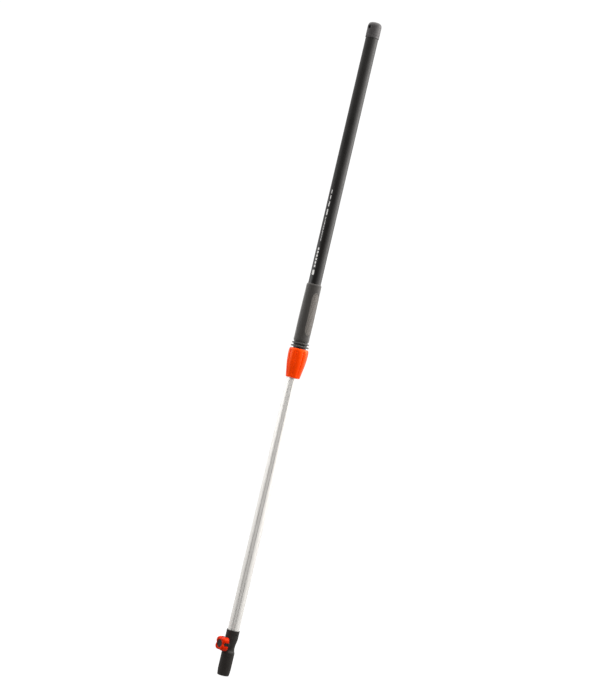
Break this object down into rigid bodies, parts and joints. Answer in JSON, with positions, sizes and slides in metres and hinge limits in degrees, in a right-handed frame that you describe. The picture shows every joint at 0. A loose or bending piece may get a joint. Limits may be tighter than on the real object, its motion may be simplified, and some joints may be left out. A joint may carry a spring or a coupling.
{
  "type": "telescopic garden tool handle",
  "caption": "Two-section telescopic pole handle with hanging cap, soft grip, twist-lock collar and a tool socket with a lobed clamp-screw knob.",
  "frame": {"origin": "centre of the tool socket's mouth, on the pole's axis", "axes": "+Z along the pole from the tool socket to the end cap; -Y is the side that the clamp knob points to and the hanging hole opens to; +X completes a right-handed frame"},
  "size_m": [0.0434, 0.0515, 1.45],
  "materials": {
    "cap_plastic": "fine moulded texture, grey",
    "black_powder_coat": "satin black powder coat on aluminium",
    "grip_rubber": "matt soft-touch elastomer, warm grey",
    "grip_pad_rubber": "studded elastomer, lighter grey",
    "black_plastic": "fine moulded texture, black",
    "natural_plastic": "natural acetal, satin",
    "orange_plastic": "satin moulded orange",
    "red_orange_plastic": "satin moulded red-orange",
    "anodised_aluminium": "natural satin anodised, lengthwise drawn grain",
    "steel": "zinc plated",
    "black_steel": "black oxide",
    "brass": "turned"
  },
  "bodies": {
    "handle": {"end_cap": "cap_plastic", "outer_tube": "black_powder_coat", "grip_sleeve": "grip_rubber", "grip_pad_right": "grip_pad_rubber", "grip_pad_left": "grip_pad_rubber", "clamp_body": "black_plastic", "retaining_pin_front": "steel", "retaining_pin_back": "steel", "clamp_collet": "natural_plastic"},
    "wedge": {"wedge_ring": "black_plastic"},
    "collar": {"lock_collar": "orange_plastic", "collar_retainer": "black_plastic"},
    "inner_section": {"inner_tube": "anodised_aluminium", "guide_sleeve": "natural_plastic", "top_plug": "black_plastic", "tool_socket": "black_plastic", "socket_pin": "black_steel", "threaded_insert": "brass"},
    "clamp_pad": {"pressure_pad": "natural_plastic"},
    "clamp_knob": {"clamp_screw": "steel", "knob_core": "black_plastic", "knob_cap": "black_plastic", "knob_shell": "red_orange_plastic"}
  },
  "joints": [
    {"name": "telescope", "type": "slide", "parent": "handle", "child": "inner_section", "axis": [0, 0, 1], "range_m": [0, 0.55]},
    {"name": "collar_advance", "type": "slide", "parent": "handle", "child": "wedge", "axis": [0, 0, -1], "range_m": [0, 0.00201]},
    {"name": "collar_turn", "type": "hinge", "parent": "wedge", "child": "collar", "pos_m": [0, 0, 0.693], "axis": [0, 0, -1], "range_deg": [0, 120]},
    {"name": "screw_advance", "type": "slide", "parent": "inner_section", "child": "clamp_pad", "axis": [0, -1, 0], "range_m": [0, 0.00351]},
    {"name": "knob_turn", "type": "hinge", "parent": "clamp_pad", "child": "clamp_knob", "pos_m": [0, -0.02, 0.0683], "axis": [0, -1, 0], "range_deg": [0, 1008]}
  ],
  "couplings": [
    {"joint": "collar_advance", "follows": "collar_turn", "m_per_rad": 0.00095493},
    {"joint": "screw_advance", "follows": "knob_turn", "m_per_rad": 0.00019894}
  ]
}
